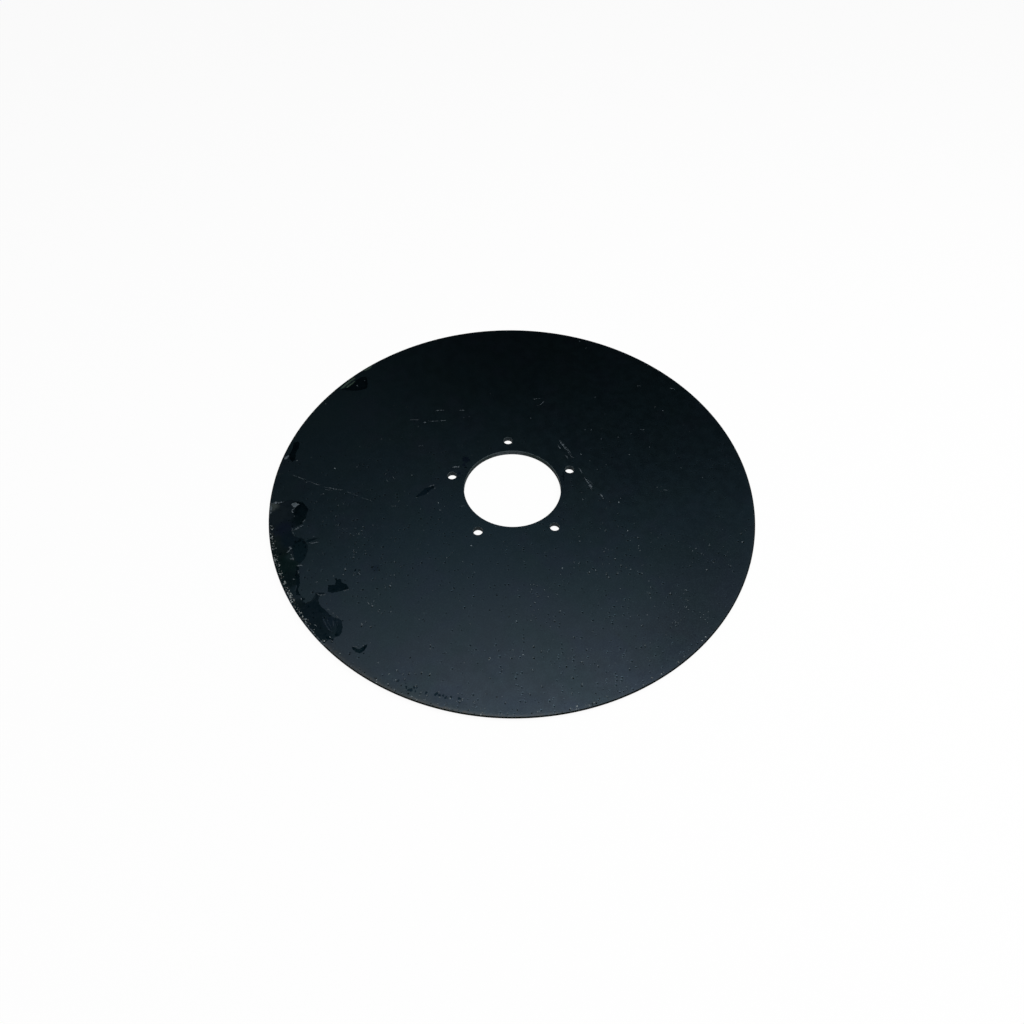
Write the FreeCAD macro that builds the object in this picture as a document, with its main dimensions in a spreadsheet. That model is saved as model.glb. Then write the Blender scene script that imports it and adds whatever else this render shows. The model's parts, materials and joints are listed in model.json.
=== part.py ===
"""Seed drill disc: the flat steel disc that opens the seed furrow.

The disc is one piece of plate. It lies flat on its underside, with the axis of its bore on Z and the
first of its bolt holes on +Y. The rim is ground to a cutting edge from the underside only, so the upper
face runs flat right out to a narrow land. A small round takes the sharpness off both corners of the land,
and a light chamfer breaks the edges of the bore and of the bolt holes.
"""
import FreeCAD, Part
import math
import os

import Sketcher


# Driving dimensions, in millimetres and degrees
SIZES = {
    "outer_diameter": 380.0,
    "plate_thickness": 4.5,
    "bore_diameter": 77.0,
    "bolt_circle_diameter": 100.0,
    "bolt_hole_diameter": 7.5,
    "bolt_hole_count": 5,
    "bevel_width": 12.0,
    "rim_land": 1.2,
    "rim_round": 0.35,
    "bore_chamfer": 0.15,
    "bolt_hole_chamfer": 0.1,
}

FULL_TURN = 360.0


def make_sheet(document):
    """Write the driving dimensions to the spreadsheet, one alias to a row."""
    sheet = document.addObject("Spreadsheet::Sheet", "Sizes")
    for row, (alias, value) in enumerate(SIZES.items(), start=1):
        sheet.set(f"A{row}", str(value))
        sheet.setAlias(f"A{row}", alias)
    document.recompute()
    return sheet


def origin_plane(body, role):
    """Find one of the body's own origin planes or axes by its role."""
    for feature in body.Origin.OriginFeatures:
        if feature.Role == role:
            return feature
    raise ValueError(f"the body has no {role}")


def new_sketch(body, name, role):
    """Start a sketch on one of the body's origin planes."""
    sketch = body.newObject("Sketcher::SketchObject", name)
    sketch.AttachmentSupport = (origin_plane(body, role), [""])
    sketch.MapMode = "FlatFace"
    return sketch


def bind(sketch, name, kind, *geometry, size, start):
    """Add one dimension to a sketch, name it and tie it to the sheet."""
    index = sketch.addConstraint(Sketcher.Constraint(kind, *geometry, start))
    sketch.renameConstraint(index, name)
    sketch.setExpression(f"Constraints.{name}", size)


def draw_half_section(body):
    """Draw the disc's half section: radius across, height up, and the Z axis as the line of revolution."""
    sketch = new_sketch(body, "HalfSection", "XZ_Plane")

    bore = SIZES["bore_diameter"] / 2
    rim = SIZES["outer_diameter"] / 2
    top = SIZES["plate_thickness"]
    chamfer = SIZES["bore_chamfer"]
    corners = {
        "underside_at_bore": (bore + chamfer, 0),
        "underside_at_bevel": (rim - SIZES["bevel_width"], 0),
        "rim_below": (rim, top - SIZES["rim_land"]),
        "rim_above": (rim, top),
        "face_at_bore": (bore + chamfer, top),
        "bore_above": (bore, top - chamfer),
        "bore_below": (bore, chamfer),
    }
    points = [FreeCAD.Vector(radius, height, 0) for radius, height in corners.values()]
    ends = points[1:] + points[:1]
    lines = [sketch.addGeometry(Part.LineSegment(a, b), False) for a, b in zip(points, ends)]
    underside, bevel, land, face, upper_chamfer, wall, lower_chamfer = lines

    # Point 1 is a line's start, point 2 its end, and -1 with point 1 is the sketch's own origin
    for line, following in zip(lines, lines[1:] + lines[:1]):
        sketch.addConstraint(Sketcher.Constraint("Coincident", line, 2, following, 1))
    sketch.addConstraint(Sketcher.Constraint("Horizontal", underside))
    sketch.addConstraint(Sketcher.Constraint("Horizontal", face))
    sketch.addConstraint(Sketcher.Constraint("Vertical", land))
    sketch.addConstraint(Sketcher.Constraint("Vertical", wall))
    sketch.addConstraint(Sketcher.Constraint("PointOnObject", underside, 1, -1))

    bind(sketch, "bore_radius", "DistanceX", -1, 1, wall, 2, start=bore, size="Sizes.bore_diameter / 2")
    bind(sketch, "rim_radius", "DistanceX", -1, 1, land, 1, start=rim, size="Sizes.outer_diameter / 2")
    bind(sketch, "face_height", "DistanceY", -1, 1, land, 2, start=top, size="Sizes.plate_thickness")
    bind(sketch, "land_height", "DistanceY", land, 1, land, 2,
         start=SIZES["rim_land"], size="Sizes.rim_land")
    bind(sketch, "bevel_reach", "DistanceX", bevel, 1, bevel, 2,
         start=SIZES["bevel_width"], size="Sizes.bevel_width")
    bind(sketch, "upper_chamfer_across", "DistanceX", upper_chamfer, 2, upper_chamfer, 1,
         start=chamfer, size="Sizes.bore_chamfer")
    bind(sketch, "upper_chamfer_down", "DistanceY", upper_chamfer, 2, upper_chamfer, 1,
         start=chamfer, size="Sizes.bore_chamfer")
    bind(sketch, "lower_chamfer_across", "DistanceX", lower_chamfer, 1, lower_chamfer, 2,
         start=chamfer, size="Sizes.bore_chamfer")
    bind(sketch, "lower_chamfer_up", "DistanceY", lower_chamfer, 2, lower_chamfer, 1,
         start=chamfer, size="Sizes.bore_chamfer")
    return sketch


def turn_plate(body, section):
    """Turn the half section round the Z axis into the plain disc."""
    plate = body.newObject("PartDesign::Revolution", "TurnedPlate")
    plate.Profile = section
    plate.ReferenceAxis = (section, ["V_Axis"])
    plate.Angle = FULL_TURN
    section.Visibility = False
    body.Document.recompute()
    return plate


def same(length, other):
    """Tell whether two lengths are equal to within the modeller's own precision."""
    return math.isclose(length, other, abs_tol=FreeCAD.Base.Precision.confusion())


def circles(shape, radius, heights):
    """Name the round edges that have this radius and lie level at one of these heights."""
    names = []
    for number, edge in enumerate(shape.Edges, start=1):
        curve = edge.Curve
        if curve.TypeId != "Part::GeomCircle" or not same(curve.Radius, radius):
            continue
        if any(same(curve.Center.z, height) for height in heights):
            names.append(f"Edge{number}")
    return names


def round_rim(body, plate):
    """Take the sharpness off both corners of the rim's land."""
    top = SIZES["plate_thickness"]
    heights = (top, top - SIZES["rim_land"])
    rim = body.newObject("PartDesign::Fillet", "RimRound")
    rim.Base = (plate, circles(plate.Shape, SIZES["outer_diameter"] / 2, heights))
    rim.setExpression("Radius", "Sizes.rim_round")
    body.Document.recompute()
    return rim


def cut_bolt_holes(body):
    """Cut the bolt hole that lies on +Y, then repeat it round the bore."""
    sketch = new_sketch(body, "BoltHoleCircle", "XY_Plane")
    sketch.setExpression("AttachmentOffset.Base.z", "Sizes.plate_thickness")
    on_circle = SIZES["bolt_circle_diameter"] / 2
    radius = SIZES["bolt_hole_diameter"] / 2
    centre = FreeCAD.Vector(0, on_circle, 0)
    circle = sketch.addGeometry(Part.Circle(centre, FreeCAD.Vector(0, 0, 1), radius), False)
    sketch.addConstraint(Sketcher.Constraint("PointOnObject", circle, 3, -2))
    bind(sketch, "hole_place", "DistanceY", -1, 1, circle, 3,
         start=on_circle, size="Sizes.bolt_circle_diameter / 2")
    bind(sketch, "hole_radius", "Radius", circle, start=radius, size="Sizes.bolt_hole_diameter / 2")

    hole = body.newObject("PartDesign::Pocket", "BoltHole")
    hole.Profile = sketch
    hole.Type = "ThroughAll"
    sketch.Visibility = False
    body.Document.recompute()

    pattern = body.newObject("PartDesign::PolarPattern", "BoltCircle")
    pattern.Originals = [hole]
    pattern.Axis = (origin_plane(body, "Z_Axis"), [""])
    pattern.Angle = FULL_TURN
    pattern.setExpression("Occurrences", "Sizes.bolt_hole_count")
    body.Tip = pattern
    body.Document.recompute()
    return pattern


def break_hole_edges(body, pattern):
    """Chamfer both mouths of every bolt hole."""
    heights = (0, SIZES["plate_thickness"])
    mouths = circles(pattern.Shape, SIZES["bolt_hole_diameter"] / 2, heights)
    chamfer = body.newObject("PartDesign::Chamfer", "BoltHoleEdges")
    chamfer.Base = (pattern, mouths)
    chamfer.setExpression("Size", "Sizes.bolt_hole_chamfer")
    body.Tip = chamfer
    body.Document.recompute()
    return chamfer


def make_disc(document):
    """Build the disc as one body, in the order in which it is made."""
    body = document.addObject("PartDesign::Body", "Disc")
    body.Label = "disc"
    plate = turn_plate(body, draw_half_section(body))
    rim = round_rim(body, plate)
    pattern = cut_bolt_holes(body)
    break_hole_edges(body, pattern)

    holes_cut = rim.Shape.Volume - pattern.Shape.Volume
    one_hole = math.pi * (SIZES["bolt_hole_diameter"] / 2) ** 2 * SIZES["plate_thickness"]
    print(f"bolt holes cut: {holes_cut / one_hole:.3f} of {SIZES['bolt_hole_count']}")
    return body


def check(document):
    """Stop if any object of the document failed, or if a body has no sound shape."""
    for item in document.Objects:
        if "Invalid" in item.State or "Error" in item.State:
            raise RuntimeError(f"{item.Label} failed: {item.State}")
    for item in document.Objects:
        if item.TypeId == "PartDesign::Body":
            if item.Shape.isNull() or not item.Shape.isValid():
                raise RuntimeError(f"{item.Label} has no sound shape")


def export(bodies):
    """Write each body's shape to its own file, under its label."""
    os.makedirs("parts", exist_ok=True)
    for body in bodies:
        body.Shape.exportStep(f"parts/{body.Label}.step")
        box = body.Shape.optimalBoundingBox()
        print(f"{body.Label}: {len(body.Shape.Solids)} solid, {body.Shape.Volume:.1f} cubic mm, "
              f"{box.XLength:.2f} x {box.YLength:.2f} x {box.ZLength:.2f} mm")


document = FreeCAD.newDocument("SeedDrillDisc")
make_sheet(document)
disc = make_disc(document)
document.recompute()
check(document)
export([disc])
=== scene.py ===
# %% [markdown]
# # Seed drill disc
#
# A seed drill disc opens the furrow that the seed drops into. It is one flat disc of hardened steel plate
# with a thin blue-black coating, a large bore for the hub, five bolt holes round the bore, and a rim that
# is ground to a cutting edge from below. This one lies flat, upper face up, and its coating has chipped off
# along the rim.
#
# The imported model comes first. It fixes every size, so nothing below changes the disc's shape: it only
# makes the surface as the photograph shows it.

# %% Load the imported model
import json
import math

import bmesh
import bpy
from mathutils import Matrix, Vector


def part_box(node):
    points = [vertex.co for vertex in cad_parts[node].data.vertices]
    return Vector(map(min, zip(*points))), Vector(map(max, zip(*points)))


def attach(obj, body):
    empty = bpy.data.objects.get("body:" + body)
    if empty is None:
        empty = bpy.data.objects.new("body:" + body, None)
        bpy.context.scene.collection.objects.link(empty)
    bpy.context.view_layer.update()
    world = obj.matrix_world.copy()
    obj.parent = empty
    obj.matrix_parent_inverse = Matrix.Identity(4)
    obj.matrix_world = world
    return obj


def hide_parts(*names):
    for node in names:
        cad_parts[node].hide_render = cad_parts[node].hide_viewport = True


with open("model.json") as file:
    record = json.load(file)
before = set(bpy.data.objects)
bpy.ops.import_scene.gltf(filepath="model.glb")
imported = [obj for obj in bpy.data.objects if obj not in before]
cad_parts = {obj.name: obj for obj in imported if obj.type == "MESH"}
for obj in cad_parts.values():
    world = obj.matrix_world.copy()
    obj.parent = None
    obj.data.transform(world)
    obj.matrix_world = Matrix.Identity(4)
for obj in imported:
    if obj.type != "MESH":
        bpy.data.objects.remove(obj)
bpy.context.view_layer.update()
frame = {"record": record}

MM = 0.001

# %% [markdown]
# ## Sizes of the disc
#
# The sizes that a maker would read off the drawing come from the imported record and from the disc's own box.
# The bevel, the land and the small edge breaks are not in the record, so they are named here in
# millimetres.

# %% Sizes of the disc
lowest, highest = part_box("disc")
mounts = {mount["name"]: mount["dims"] for mount in frame["record"]["mounts"]}

rim_radius = (highest.x - lowest.x) / 2
face_height = highest.z
bore_radius = mounts["centre_bore"]["r_mm"] * MM
bolt_circle_radius = mounts["bolt_circle"]["pcd_mm"] / 2 * MM
bolt_hole_radius = mounts["bolt_circle"]["hole_r_mm"] * MM
bolt_hole_count = mounts["bolt_circle"]["count"]

bevel_width = 12 * MM
rim_land = 1.2 * MM
rim_round = 0.35 * MM
# The edge line is how far the rim's dark matt painted shade reaches in over the face.
edge_line = 0.75 * MM
bore_break = 0.15 * MM
bolt_hole_break = 0.1 * MM

print(f"disc: {2 * rim_radius / MM:.1f} mm across, {face_height / MM:.2f} mm thick, "
      f"bore {2 * bore_radius / MM:.1f} mm, {bolt_hole_count} holes of {2 * bolt_hole_radius / MM:.1f} mm")

# %% [markdown]
# ## Camera
#
# The photograph looks down on the disc at about 51 degrees with a fairly wide lens, so the far half of the
# disc looks flatter than the near half. The place and the two directions below were found by fitting the
# rim, the bore and the bolt holes. The disc's centre is not quite in the middle of the picture, so the
# camera doesn't aim at it.

# %% Camera
def add_object(name, data):
    """Put a new object in the scene."""
    made = bpy.data.objects.new(name, data)
    bpy.context.scene.collection.objects.link(made)
    return made


camera_place = Vector((-32.29, -372.90, 474.24)) * MM
look_along = Vector((0.05139, 0.59512, -0.80199))
picture_up = Vector((0.05426, 0.80021, 0.59727))
picture_right = look_along.cross(picture_up).normalized()

camera_data = bpy.data.cameras.new("camera")
camera_data.sensor_width = 36
camera_data.lens = 26.55
camera = add_object("camera", camera_data)
turned = Matrix((picture_right, picture_up, -look_along)).transposed().to_4x4()
camera.matrix_world = Matrix.Translation(camera_place) @ turned
bpy.context.scene.camera = camera
distance = (camera_place - Vector((0, 0, face_height))).length
print(f"camera: {distance / MM:.1f} mm from the middle of the face")

# %% [markdown]
# ## Building node trees
#
# Geometry Nodes and materials are both trees of nodes. Small helpers keep the trees readable: one adds a
# node with its settings and inputs, one gives only the node's first output, and the rest do sums on numbers
# and vectors.

# %% Helpers for node trees
def node(tree, kind, inputs=None, **settings):
    """Add one node. An input is another node's output or a plain value."""
    made = tree.nodes.new(kind)
    for name, value in settings.items():
        setattr(made, name, value)
    for socket, value in (inputs or {}).items():
        if isinstance(value, bpy.types.NodeSocket):
            tree.links.new(value, made.inputs[socket])
        else:
            made.inputs[socket].default_value = value
    return made


def first(tree, kind, inputs=None, **settings):
    """Add one node and give its first output."""
    return node(tree, kind, inputs, **settings).outputs[0]


def calc(tree, operation, a, b=0.0):
    """Add a Math node and give its result."""
    return first(tree, "ShaderNodeMath", {0: a, 1: b}, operation=operation)


def chain(tree, operation, values):
    """Combine several values by one operation, from left to right."""
    total, *rest = values
    for value in rest:
        total = calc(tree, operation, total, value)
    return total


def add(tree, *values):
    """Add up several values."""
    return chain(tree, "ADD", values)


def times(tree, *values):
    """Multiply several values."""
    return chain(tree, "MULTIPLY", values)


def most(tree, *values):
    """Give the largest of several values."""
    return chain(tree, "MAXIMUM", values)


def less(tree, a, b):
    """Take b away from a."""
    return calc(tree, "SUBTRACT", a, b)


def vector(tree, operation, a, b):
    """Add a Vector Math node and give its vector. SCALE takes a number as its second value."""
    second = "Scale" if operation == "SCALE" else 1
    return first(tree, "ShaderNodeVectorMath", {0: a, second: b}, operation=operation)


def xyz(tree, **parts):
    """Make a vector from the parts that are given."""
    return first(tree, "ShaderNodeCombineXYZ", parts)


def axis(tree, place, letter):
    """Give one part of a vector."""
    return node(tree, "ShaderNodeSeparateXYZ", {0: place}).outputs[letter]


def fade(tree, value, start, end, low=0.0, high=1.0):
    """Turn a value into a smooth ramp that is low before start and high after end."""
    return first(tree, "ShaderNodeMapRange", {0: value, 1: start, 2: end, 3: low, 4: high},
                 interpolation_type="SMOOTHSTEP")


def window(tree, value, start, full, going, gone):
    """Give 0 before start, 1 between full and going, and 0 again after gone."""
    return times(tree, fade(tree, value, start, full), fade(tree, value, going, gone, 1.0, 0.0))


def drift(tree, lumps, detail, reach, roughness=0.5, place=None):
    """Give random shifts of up to half this reach, from noise with this many lumps to a metre."""
    inputs = {"Scale": lumps, "Detail": detail, "Roughness": roughness}
    if place is not None:
        inputs["Vector"] = place
    shift = node(tree, "ShaderNodeTexNoise", inputs).outputs["Color"]
    return vector(tree, "SCALE", vector(tree, "SUBTRACT", shift, (0.5, 0.5, 0.5)), reach)


def flat(tree, place):
    """Take the height out of a vector."""
    return vector(tree, "MULTIPLY", place, (1, 1, 0))


def polar(tree, place):
    """Give the distance from the disc's axis and the turn round it in degrees, from -180 to 180."""
    x, y = axis(tree, place, "X"), axis(tree, place, "Y")
    reach = calc(tree, "SQRT", add(tree, times(tree, x, x), times(tree, y, y)))
    return reach, times(tree, calc(tree, "ARCTAN2", y, x), 180 / math.pi)


SOCKET_KINDS = {
    float: "NodeSocketFloat",
    int: "NodeSocketInt",
    bpy.types.Object: "NodeSocketObject",
    bpy.types.Material: "NodeSocketMaterial",
}


def new_tree(name, sizes):
    """Start a Geometry Nodes tree that has one named input for each size."""
    tree = bpy.data.node_groups.new(name, "GeometryNodeTree")
    tree.interface.new_socket(name="Geometry", in_out="OUTPUT", socket_type="NodeSocketGeometry")
    for label, value in sizes.items():
        tree.interface.new_socket(name=label, in_out="INPUT", socket_type=SOCKET_KINDS[type(value)])
    given = tree.nodes.new("NodeGroupInput")
    return tree, {label: given.outputs[label] for label in sizes}


def grow(name, tree, sizes):
    """Run a tree on an empty object, keep the mesh that comes out and drop the modifier."""
    piece = add_object(name, bpy.data.meshes.new(name))
    modifier = piece.modifiers.new(name, "NODES")
    modifier.node_group = tree
    for socket in tree.interface.items_tree:
        if socket.in_out == "INPUT":
            modifier[socket.identifier] = sizes[socket.name]
    shaped = piece.evaluated_get(bpy.context.evaluated_depsgraph_get())
    mesh = bpy.data.meshes.new_from_object(shaped)
    piece.modifiers.remove(modifier)
    piece.data = mesh
    triangles = sum(len(face.vertices) - 2 for face in mesh.polygons)
    print(f"{name}: {len(mesh.polygons)} faces, {triangles} triangles")
    return piece

# %% [markdown]
# ## Materials that vary
#
# No real surface has one flat colour. Each finish below starts from the object's own coordinates, lays
# noise of several sizes over them, and lets that noise shift the colour, the gloss and the relief. Object
# coordinates stick to the disc, so the pattern stays in place from every side.

# %% Helpers for materials
def new_material(name):
    """Start an empty material. Give it, its tree and its object coordinates."""
    material = bpy.data.materials.new(name)
    material.use_nodes = True
    tree = material.node_tree
    tree.nodes.clear()
    place = node(tree, "ShaderNodeTexCoord").outputs["Object"]
    return material, tree, place


def noise(tree, place, grain, detail=3.0, roughness=0.55):
    """Give noise from 0 to 1 whose lumps are about this many metres across."""
    return first(tree, "ShaderNodeTexNoise",
                 {"Vector": place, "Scale": 1 / grain, "Detail": detail, "Roughness": roughness})


def blend(tree, amount, a, b):
    """Mix two colours."""
    mixed = tree.nodes.new("ShaderNodeMix")
    mixed.data_type = "RGBA"
    for socket, value in ((0, amount), (6, a), (7, b)):
        if isinstance(value, bpy.types.NodeSocket):
            tree.links.new(value, mixed.inputs[socket])
        else:
            mixed.inputs[socket].default_value = (*value, 1)
    return mixed.outputs[2]


def relief(tree, height, depth, under=None):
    """Turn a height from 0 to 1 into relief of this depth in metres, laid over the relief under it."""
    inputs = {"Strength": 1.0, "Distance": depth, "Height": height}
    if under is not None:
        inputs["Normal"] = under
    return first(tree, "ShaderNodeBump", inputs)


def finish(tree, colour, metallic, roughness, normal, specular=0.5):
    """End a material with one Principled shader."""
    inputs = {"Base Color": colour, "Metallic": metallic, "Roughness": roughness, "Normal": normal,
              "Specular IOR Level": specular}
    node(tree, "ShaderNodeOutputMaterial", {"Surface": first(tree, "ShaderNodeBsdfPrincipled", inputs)})


def stray(tree, place, distance, grain):
    """Shift places by noise, so that whatever is laid on them gets ragged edges."""
    return vector(tree, "ADD", place, drift(tree, 1 / grain, 3.0, 2 * distance, place=place))


def spot(tree, place, centre, radius, soft):
    """Give 1 inside a round spot, given in millimetres, and fade to 0 over its soft edge."""
    middle = (centre[0] * MM, centre[1] * MM, 0)
    away = node(tree, "ShaderNodeVectorMath", {0: flat(tree, place), 1: middle}, operation="DISTANCE")
    return fade(tree, away.outputs["Value"], (radius - soft) * MM, (radius + soft) * MM, 1.0, 0.0)


def lay_spots(tree, place, colour, spots):
    """Blend soft round spots into a colour, each with its own strength and tint."""
    for centre, radius, soft, strength, tint in spots:
        colour = blend(tree, times(tree, spot(tree, place, centre, radius, soft), strength), colour, tint)
    return colour


def dents(tree, place, spacing, share, smallest, largest, ragged):
    """Give the depth, from 0 to 1, of round dents that lie about this far apart, some left out."""
    inputs = {"Vector": stray(tree, place, ragged, 2.0 * ragged), "Scale": 1 / spacing, "Randomness": 1.0}
    cells = node(tree, "ShaderNodeTexVoronoi", inputs)
    luck = node(tree, "ShaderNodeSeparateColor", {0: cells.outputs["Color"]})
    size = fade(tree, luck.outputs[1], 0.0, 1.0, smallest / spacing, largest / spacing)
    depth = less(tree, 1.0, calc(tree, "DIVIDE", cells.outputs["Distance"], size))
    return times(tree, fade(tree, depth, 0.0, 1.0), calc(tree, "LESS_THAN", luck.outputs[0], share))

# %% [markdown]
# ## The coating
#
# The steel carries a thin blue-black coat, about as shiny as satin. It has next to no colour of its own and
# shows a dim, blurred picture of the lamps, so it is made as a dark metal whose reflectance is about a
# twentieth. It runs from a purple grey on the near side to a green blue on the far side, and soft round
# patches darken or lighten it as painted shade and painted sheen. Small dents cover it, each with painted
# shade in it and a painted highlight on one side, a few of them painted near black as shade, and a narrow
# band along the near rim is rubbed pale.

# %% The coating
BLACK = (0, 0, 0)
NEAR_COAT = (0.0380, 0.0514, 0.0665)
MIDDLE_COAT = (0.0264, 0.0515, 0.0700)
FAR_COAT = (0.0236, 0.0500, 0.0640)
# Painted shade and painted sheen: soft round patches that darken or lighten the coat.
PAINTED_SHADE_AND_SHEEN = [
    ((146, -98), 46, 34, 0.24, BLACK),
    ((112, -152), 30, 24, 0.20, BLACK),
    ((60, -10), 20, 16, 0.14, (0.045, 0.076, 0.094)),
    ((15, 158), 62, 44, 0.15, BLACK),
    ((-5, -140), 44, 34, 0.10, (0.060, 0.080, 0.098)),
]
WORN_SPOTS = [
    ((-35.6, 31.4), 3.0, 0.7),
    ((-37.6, 26.4), 2.0, 0.7),
    ((-42.0, 17.4), 1.5, 0.6),
    ((-42.6, 12.2), 1.0, 0.5),
]
DENTS = {"spacing": 3.3 * MM, "share": 0.50, "smallest": 0.60 * MM, "largest": 1.15 * MM,
         "ragged": 0.4 * MM}
POCKS = {"spacing": 3.4 * MM, "share": 0.16, "smallest": 0.40 * MM, "largest": 0.80 * MM,
         "ragged": 0.5 * MM}

coated_steel, tree, place = new_material("coated_steel")
reach, turn = polar(tree, place)
side = axis(tree, place, "Y")

colour = blend(tree, fade(tree, side, -10 * MM, 120 * MM), MIDDLE_COAT, FAR_COAT)
colour = blend(tree, fade(tree, side, -175 * MM, -20 * MM, 1.0, 0.0), colour, NEAR_COAT)
patches = noise(tree, place, 38 * MM, detail=2.0)
colour = blend(tree, fade(tree, patches, 0.42, 0.66, 0.0, 0.35), colour, (0.0275, 0.0540, 0.0600))
patches = noise(tree, stray(tree, place, 8 * MM, 30 * MM), 27 * MM, detail=2.0)
colour = blend(tree, fade(tree, patches, 0.48, 0.68, 0.0, 0.35), colour, (0.0340, 0.0480, 0.0760))
clouding = noise(tree, place, 7 * MM, detail=4.0)
colour = blend(tree, fade(tree, clouding, 0.35, 0.75, 0.0, 0.08), colour, (0.018, 0.032, 0.044))
# Lay the patches of painted shade and sheen.
colour = lay_spots(tree, place, colour, PAINTED_SHADE_AND_SHEEN)
grain = noise(tree, place, 0.8 * MM, detail=2.0)
colour = blend(tree, fade(tree, grain, 0.42, 0.72, 0.0, 0.34), colour, (0.052, 0.078, 0.096))

calm = most(tree, spot(tree, place, (-80, -120), 34, 22), spot(tree, place, (125, -20), 42, 26),
            fade(tree, side, 10 * MM, 80 * MM))
struck = times(tree, fade(tree, noise(tree, place, 14 * MM, detail=2.0), 0.42, 0.60, 0.42, 1.0),
               less(tree, 1.0, times(tree, calm, 0.75)))
# Each nick is a real dent painted darker inside as shade, and a pale copy shifted to one side is its painted
# highlight. The pocks are real dents painted near black as shade.
beside = vector(tree, "ADD", place, (0.65 * MM, 0.6 * MM, 0))
nicks_and_shade = times(tree, struck, dents(tree, place, **DENTS))
painted_nick_highlight = times(tree, struck, dents(tree, beside, **DENTS))
pocks_and_shade = dents(tree, place, **POCKS)
colour = blend(tree, fade(tree, painted_nick_highlight, 0.14, 0.52, 0.0, 0.72), colour, (0.084, 0.116, 0.140))
colour = blend(tree, fade(tree, nicks_and_shade, 0.06, 0.36, 0.0, 0.80), colour, (0.010, 0.019, 0.025))
colour = blend(tree, fade(tree, pocks_and_shade, 0.20, 0.7, 0.0, 0.7), colour, (0.009, 0.018, 0.024))

worn_out = stray(tree, place, 3.2 * MM, 2.6 * MM)
smudge = times(tree, spot(tree, worn_out, (-105.9, -69.2), 3.0, 1.4), 0.50)
navy_stain = most(tree, *(spot(tree, worn_out, *blob) for blob in WORN_SPOTS), smudge)
colour = blend(tree, times(tree, navy_stain, 0.8), colour, (0.012, 0.022, 0.045))

near_rim = times(tree, fade(tree, turn, -172, -150), fade(tree, turn, -112, -66, 1.0, 0.12))
rub = noise(tree, place, 3.0 * MM, detail=5.0, roughness=0.65)
rubbed = times(tree, near_rim, fade(tree, add(tree, reach, times(tree, rub, 3.5 * MM)),
                                    rim_radius - 1.4 * MM, rim_radius + 1.4 * MM))
flecks = fade(tree, noise(tree, place, 1.3 * MM, detail=2.0), 0.38, 0.62, 0.35, 1.35)
colour = blend(tree, times(tree, rubbed, flecks, 0.75), colour, (0.068, 0.066, 0.062))
soiled = fade(tree, add(tree, reach, times(tree, rub, 9 * MM)), rim_radius - 3 * MM, rim_radius + 4 * MM)
soil = times(tree, window(tree, turn, -152, -142, -112, -100), soiled)
colour = blend(tree, times(tree, soil, 0.3), colour, (0.048, 0.054, 0.054))

gloss = add(tree, fade(tree, clouding, 0.3, 0.7, 0.285, 0.325), times(tree, rubbed, 0.2))
skin = relief(tree, noise(tree, place, 22 * MM, detail=1.0), 0.02 * MM)
skin = relief(tree, grain, 0.009 * MM, under=skin)
skin = relief(tree, nicks_and_shade, -0.12 * MM, under=skin)
skin = relief(tree, pocks_and_shade, -0.07 * MM, under=skin)
finish(tree, colour, 1.0, gloss, skin)

# %% [markdown]
# ## Steel in the chips
#
# Where the coat has come off, a duller skin shows. It is stained: purple and navy at the top of the long
# chip, brown by the rim, nearly black green half way down, and blue again in its lower end. The stains are
# listed round spots, and noise pulls their edges out of shape.

# %% Steel in the chips
STAINS = [
    ((-183, -14), 9, 4, (0.0250, 0.0410, 0.0530)),
    ((-187.0, -5.6), 3.6, 2.4, (0.1500, 0.1900, 0.1850)),
    ((-164, -20), 6, 3.5, (0.0050, 0.0150, 0.0200)),
    ((-176, -29), 7, 4, (0.0150, 0.0250, 0.0480)),
    ((-171, -38), 8, 4, (0.0110, 0.0250, 0.0380)),
    ((-183, -42), 6, 4, (0.0190, 0.0330, 0.0340)),
    ((-178, -52), 7, 3, (0.0120, 0.0240, 0.0250)),
    ((-172, -62), 9, 4, (0.0070, 0.0220, 0.0220)),
    ((-169, -55), 2.8, 2.2, (0.0230, 0.0460, 0.0520)),
    ((-167, -75), 8, 4, (0.0060, 0.0160, 0.0190)),
    ((-163.5, -83), 3.6, 2.2, (0.0160, 0.0320, 0.0430)),
    ((-158, -99), 7, 3, (0.0085, 0.0180, 0.0200)),
    ((-150, -106), 12, 5, (0.0072, 0.0160, 0.0235)),
    ((-142, -117), 9, 4, (0.0066, 0.0150, 0.0205)),
    ((-136.0, -111.5), 4.6, 2.0, (0.0095, 0.0200, 0.0320)),
]
NAVY_STAINS = [
    ((-162, -50), 13, 4, (0.0085, 0.0225, 0.0310)),
    ((-68, 1), 12, 3, (0.0080, 0.0205, 0.0330)),
    ((-132, -82), 9, 3, (0.0036, 0.0115, 0.0170)),
]
STAIN_STRENGTH = 0.9
SPECKS = {"spacing": 2.6 * MM, "share": 0.30, "smallest": 0.5 * MM, "largest": 0.9 * MM, "ragged": 0.5 * MM}


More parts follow.
